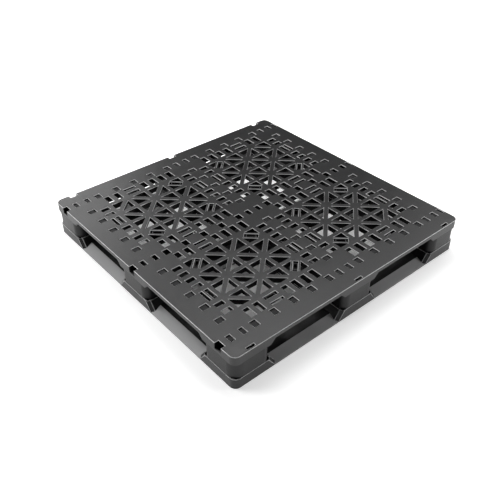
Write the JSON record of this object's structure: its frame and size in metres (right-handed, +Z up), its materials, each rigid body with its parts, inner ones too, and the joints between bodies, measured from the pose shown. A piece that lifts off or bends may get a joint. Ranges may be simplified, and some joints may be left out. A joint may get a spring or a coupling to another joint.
{
  "type": "plastic pallet",
  "caption": "Square four-way entry plastic pallet with an open lattice deck, hollow legs, reinforcing bars and a ramped picture-frame base.",
  "frame": {"origin": "on the floor, at the centre of the base", "axes": "+X along the front edge to the right, +Y from front to back, +Z up"},
  "size_m": [1.2, 1.2, 0.15],
  "materials": {
    "deck_plastic": "satin, fine moulded grain",
    "base_plastic": "satin, fine moulded grain",
    "leg_plastic": "satin, fine moulded grain",
    "bar_steel": "black coating",
    "screw_steel": "zinc plated"
  },
  "bodies": {
    "root": {"top_deck": "deck_plastic", "base_frame": "base_plastic", "leg_front_left": "leg_plastic", "leg_front_middle": "leg_plastic", "leg_front_right": "leg_plastic", "leg_left_middle": "leg_plastic", "leg_centre": "leg_plastic", "leg_right_middle": "leg_plastic", "leg_back_left": "leg_plastic", "leg_back_middle": "leg_plastic", "leg_back_right": "leg_plastic", "cross_bar_front": "bar_steel", "cross_bar_back": "bar_steel", "long_bar_left": "bar_steel", "long_bar_middle": "bar_steel", "long_bar_right": "bar_steel", "leg_screws": "screw_steel"}
  },
  "joints": []
}
